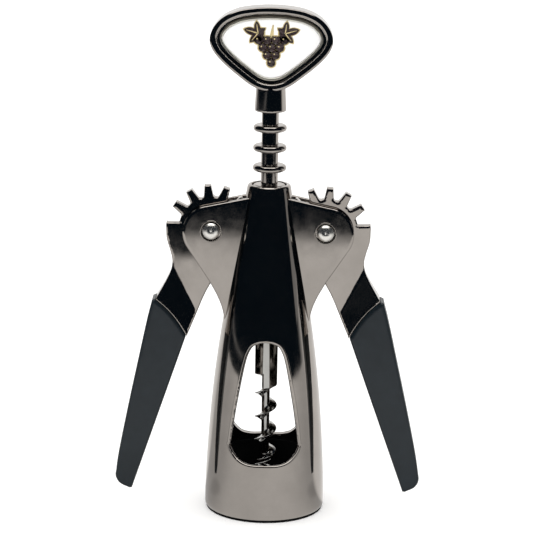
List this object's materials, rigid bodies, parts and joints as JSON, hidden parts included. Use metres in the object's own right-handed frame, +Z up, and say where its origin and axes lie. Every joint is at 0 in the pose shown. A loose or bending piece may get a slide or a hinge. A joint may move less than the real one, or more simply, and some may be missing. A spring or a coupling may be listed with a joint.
{
  "type": "lever corkscrew",
  "caption": "Wing corkscrew: open bell with windows, toothed levers with soft grips, ringed rack, worm and emblem handle.",
  "frame": {"origin": "centre of the bell's base, on the plane that the bell stands on", "axes": "+Z up along the worm and rack, +X towards the right lever, +Y to the back; the emblem faces -Y and +Y"},
  "size_m": [0.1072, 0.0418, 0.1768],
  "materials": {
    "black_nickel": "polished gunmetal (black nickel) plating on zinc casting",
    "worm_steel": "dark plated steel, turning marks",
    "bright_nickel": "bright nickel plating",
    "pin_steel": "plain steel",
    "soft_grip": "matt soft-touch charcoal",
    "black_plastic": "moulded, satin",
    "white_enamel": null,
    "clear_resin": "clear domed resin"
  },
  "bodies": {
    "bell": {"bell_frame": "black_nickel", "bottle_seat": "black_plastic", "pivot_rivet_left": "bright_nickel", "pivot_rivet_right": "bright_nickel"},
    "lever_left_body": {"lever_left": "black_nickel", "grip_left": "soft_grip"},
    "lever_right_body": {"lever_right": "black_nickel", "grip_right": "soft_grip"},
    "rack": {"rack_sleeve": "black_nickel"},
    "spindle": {"worm": "worm_steel", "handle_ring": "black_nickel", "neck_ferrule": "black_nickel", "handle_cross_pin": "pin_steel", "emblem_bezel_front": "bright_nickel", "emblem_plate_front": "white_enamel", "emblem_dome_front": "clear_resin", "emblem_bezel_back": "bright_nickel", "emblem_plate_back": "white_enamel", "emblem_dome_back": "clear_resin"}
  },
  "joints": [
    {"name": "lever_left_hinge", "type": "hinge", "parent": "bell", "child": "lever_left_body", "pos_m": [-0.01965, 0, 0.09955], "axis": [0, 1, 0], "range_deg": [-14.5, 115]},
    {"name": "lever_right_hinge", "type": "hinge", "parent": "bell", "child": "lever_right_body", "pos_m": [0.01965, 0, 0.09955], "axis": [0, -1, 0], "range_deg": [-14.5, 115]},
    {"name": "rack_slide", "type": "slide", "parent": "bell", "child": "rack", "axis": [0, 0, 1], "range_m": [-0.03149, 0.00397]},
    {"name": "spindle_turn", "type": "hinge", "parent": "rack", "child": "spindle", "pos_m": [0, 0, 0.12], "axis": [0, 0, 1], "continuous": true}
  ],
  "couplings": [
    {"joint": "lever_right_hinge", "follows": "lever_left_hinge", "ratio": 1},
    {"joint": "rack_slide", "follows": "lever_left_hinge", "m_per_rad": -0.015688}
  ]
}
